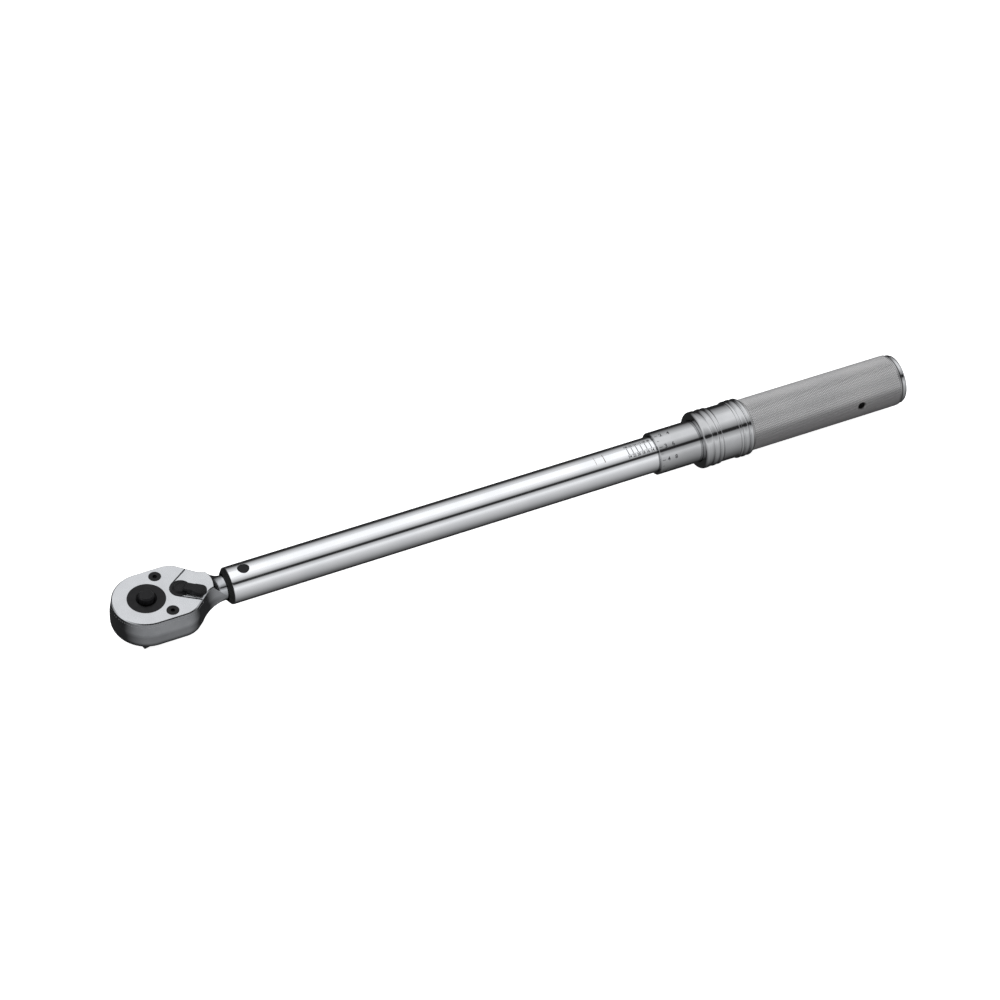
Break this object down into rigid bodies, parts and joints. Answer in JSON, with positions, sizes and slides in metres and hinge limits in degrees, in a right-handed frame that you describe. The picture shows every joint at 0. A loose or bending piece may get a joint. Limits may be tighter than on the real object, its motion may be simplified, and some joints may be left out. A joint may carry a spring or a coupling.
{
  "type": "torque wrench",
  "caption": "Square-drive click torque wrench with a reversible ratchet head, chromed tube, graduated micrometer handle, sliding lock ring and knurled metal grip.",
  "frame": {"origin": "where the drive axis crosses the centreline of the tube", "axes": "+X along the tube towards the handle, +Z along the drive axis towards the reverse lever, so the square drive points along -Z"},
  "size_m": [0.5111, 0.0418, 0.0412],
  "materials": {
    "chrome": "polished",
    "satin_head": "satin",
    "satin_plate": "satin",
    "knurled_grip": "fine knurl, matte chrome",
    "black_oxide": "black oxide",
    "black_lever": "black oxide, satin",
    "black_rubber": "matte",
    "steel": "machined",
    "spring_steel": "drawn wire",
    "bronze": "machined",
    "nylon": "matte"
  },
  "bodies": {
    "tube_body": {"tube": "chrome", "dust_boot": "black_rubber", "pivot_pin": "black_oxide", "load_nut": "steel", "nut_set_screws": "black_oxide", "main_spring": "spring_steel"},
    "ratchet_head": {"head_body": "satin_head", "cover_plate": "satin_plate", "cover_screws": "black_oxide", "drag_washer": "bronze"},
    "drive": {"drive_gear": "black_oxide", "button_spring": "spring_steel"},
    "button": {"quick_release_button": "black_oxide"},
    "socket_ball": {"detent_ball": "steel"},
    "pawl": {"pawl": "steel"},
    "lever": {"reverse_lever": "black_lever", "lever_clip": "spring_steel", "lever_detent_ball": "steel", "lever_detent_spring": "spring_steel"},
    "plunger": {"plunger": "steel", "plunger_guides": "nylon"},
    "click_block": {"click_block": "steel"},
    "carriage": {"spring_seat": "steel", "thrust_ball": "steel"},
    "handle": {"load_screw": "steel", "graduated_thimble": "chrome", "grip_sleeve": "knurled_grip", "end_plug": "steel", "handle_set_screw": "black_oxide", "screw_lock_nut": "steel", "lock_washer": "spring_steel", "end_cap": "chrome", "lock_snap_ring": "spring_steel", "lock_ring_spring": "spring_steel"},
    "lock_ring": {"lock_ring": "chrome"},
    "lock_ball_1": {"lock_ball_1": "steel"},
    "lock_ball_2": {"lock_ball_2": "steel"},
    "lock_ball_3": {"lock_ball_3": "steel"}
  },
  "joints": [
    {"name": "head_click", "type": "hinge", "parent": "tube_body", "child": "ratchet_head", "pos_m": [0.0585, 0, 0], "axis": [0, 0, 1], "range_deg": [0, 2], "stiffness_Nm_per_rad": 4, "springref_deg": -5.73},
    {"name": "drive_spin", "type": "hinge", "parent": "ratchet_head", "child": "drive", "pos_m": [0, 0, 0], "axis": [0, 0, 1], "continuous": true},
    {"name": "button_press", "type": "slide", "parent": "drive", "child": "button", "axis": [0, 0, -1], "range_m": [0, 0.003], "stiffness_N_per_m": 400, "springref_m": -0.002, "deforming": ["button_spring"]},
    {"name": "socket_ball_slide", "type": "slide", "parent": "drive", "child": "socket_ball", "axis": [0.9781, 0.2079, 0], "range_m": [0, 0.00111]},
    {"name": "lever_swing", "type": "hinge", "parent": "ratchet_head", "child": "lever", "pos_m": [0.0203, 0, 0], "axis": [0, 0, 1], "range_deg": [0, 72]},
    {"name": "pawl_rock", "type": "hinge", "parent": "ratchet_head", "child": "pawl", "pos_m": [0.0203, 0, 0], "axis": [0, 0, 1], "range_deg": [-6.41, 0]},
    {"name": "plunger_slide", "type": "slide", "parent": "tube_body", "child": "plunger", "axis": [1, 0, 0], "range_m": [0, 0.00127]},
    {"name": "block_tilt", "type": "hinge", "parent": "plunger", "child": "click_block", "pos_m": [0.1103, 0.0024, 0], "axis": [0, 0, 1], "range_deg": [-13.2, 0]},
    {"name": "handle_turn", "type": "hinge", "parent": "carriage", "child": "handle", "pos_m": [0.311, 0, 0], "axis": [-1, 0, 0], "range_deg": [-2160, 1800]},
    {"name": "handle_travel", "type": "slide", "parent": "tube_body", "child": "carriage", "axis": [-1, 0, 0], "range_m": [-0.01801, 0.01501], "deforming": ["main_spring"]},
    {"name": "ring_pull", "type": "slide", "parent": "handle", "child": "lock_ring", "axis": [1, 0, 0], "range_m": [0, 0.003], "stiffness_N_per_m": 1200, "springref_m": -0.004, "deforming": ["lock_ring_spring"]},
    {"name": "lock_ball_1_slide", "type": "slide", "parent": "handle", "child": "lock_ball_1", "axis": [0, 0.866, 0.5], "range_m": [0, 0.00061]},
    {"name": "lock_ball_2_slide", "type": "slide", "parent": "handle", "child": "lock_ball_2", "axis": [0, -0.866, 0.5], "range_m": [0, 0.00061]},
    {"name": "lock_ball_3_slide", "type": "slide", "parent": "handle", "child": "lock_ball_3", "axis": [0, 0, -1], "range_m": [0, 0.00061]}
  ],
  "couplings": [
    {"joint": "socket_ball_slide", "follows": "button_press", "ratio": 0.36667},
    {"joint": "pawl_rock", "follows": "lever_swing", "ratio": -0.088889},
    {"joint": "plunger_slide", "follows": "head_click", "m_per_rad": 0.035953},
    {"joint": "block_tilt", "follows": "head_click", "ratio": -6.55},
    {"joint": "handle_travel", "follows": "handle_turn", "m_per_rad": 0.00047746},
    {"joint": "lock_ball_1_slide", "follows": "ring_pull", "ratio": 0.2},
    {"joint": "lock_ball_2_slide", "follows": "ring_pull", "ratio": 0.2},
    {"joint": "lock_ball_3_slide", "follows": "ring_pull", "ratio": 0.2}
  ]
}
